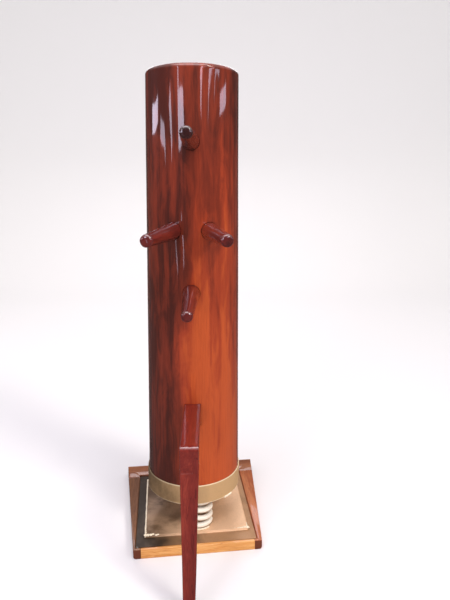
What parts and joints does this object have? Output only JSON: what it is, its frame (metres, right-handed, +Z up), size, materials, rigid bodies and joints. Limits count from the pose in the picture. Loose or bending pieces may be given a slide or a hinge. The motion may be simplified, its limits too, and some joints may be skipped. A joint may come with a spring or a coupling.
{
  "type": "wooden wing dummy",
  "caption": "Tall lacquered log with round arms, a head peg and a bent leg, held in a steel cup on coil springs over a steel plate let into a wooden surround.",
  "frame": {"origin": "on the floor, under the log's axis at rest, at the base's underside", "axes": "+Z up along the log; -Y is the front, where the arms and the leg point; +X is on the right seen from the front"},
  "size_m": [0.4743, 0.7285, 1.47],
  "materials": {
    "log_lacquer": "deep red-brown gloss lacquer over hand-planed wood",
    "arm_lacquer": "dark burgundy gloss lacquer",
    "leg_lacquer": "red-brown satin lacquer",
    "surround_wood": "light orange-brown varnished softwood",
    "plain_wood": "unfinished hardwood dowel",
    "band_paint": "khaki-gold enamel",
    "spring_paint": "pale cream-gold enamel",
    "plate_paint": "bronze-gold satin enamel",
    "sheet_paint": "dark olive-brown satin enamel",
    "weld_bead": "cream enamel over weld beads",
    "raw_steel": "oiled hot-rolled steel",
    "zinc_steel": "zinc-plated screws"
  },
  "bodies": {
    "base": {"front_rail": "surround_wood", "back_rail": "surround_wood", "left_rail": "surround_wood", "right_rail": "surround_wood", "rail_dowels": "plain_wood", "base_sheet": "sheet_paint", "sheet_screws": "zinc_steel", "ballast_plate": "raw_steel", "spring_plate": "plate_paint", "plate_welds": "weld_bead", "lower_spring_seats": "plate_paint"},
    "springs": {"front_spring": "spring_paint", "rear_left_spring": "spring_paint", "rear_right_spring": "spring_paint"},
    "log": {"trunk": "log_lacquer", "steel_band": "band_paint", "cup_plate": "band_paint", "upper_spring_seats": "band_paint", "cup_screws": "zinc_steel"},
    "head_peg_body": {"head_peg": "arm_lacquer", "head_peg_pin": "plain_wood"},
    "left_arm_body": {"left_arm": "arm_lacquer", "left_arm_pin": "plain_wood"},
    "right_arm_body": {"right_arm": "arm_lacquer", "right_arm_pin": "plain_wood"},
    "lower_arm_body": {"lower_arm": "arm_lacquer", "lower_arm_pin": "plain_wood"},
    "leg_body": {"leg_thigh": "leg_lacquer", "leg_shin": "leg_lacquer", "knee_dowel": "plain_wood", "leg_pin": "plain_wood"}
  },
  "joints": [
    {"name": "sway_fore_aft", "type": "hinge", "parent": "base", "child": "springs", "pos_m": [0, 0, 0.07925], "axis": [1, 0, 0], "range_deg": [-8, 4], "stiffness_Nm_per_rad": 8400, "deforming": ["front_spring", "rear_left_spring", "rear_right_spring"]},
    {"name": "sway_side", "type": "hinge", "parent": "springs", "child": "log", "pos_m": [0, 0, 0.07925], "axis": [0, 1, 0], "range_deg": [-8, 8], "stiffness_Nm_per_rad": 3300, "deforming": ["front_spring", "rear_left_spring", "rear_right_spring"]},
    {"name": "head_peg_slide", "type": "slide", "parent": "log", "child": "head_peg_body", "axis": [0, -1, 0], "range_m": [0, 0.0055]},
    {"name": "left_arm_slide", "type": "slide", "parent": "log", "child": "left_arm_body", "axis": [-0.1633, -0.9866, 0], "range_m": [0, 0.0055]},
    {"name": "right_arm_slide", "type": "slide", "parent": "log", "child": "right_arm_body", "axis": [0.1633, -0.9866, 0], "range_m": [0, 0.0055]},
    {"name": "lower_arm_slide", "type": "slide", "parent": "log", "child": "lower_arm_body", "axis": [0, -1, 0], "range_m": [0, 0.0055]},
    {"name": "leg_slide", "type": "slide", "parent": "log", "child": "leg_body", "axis": [0, -1, 0], "range_m": [0, 0.0055]}
  ]
}
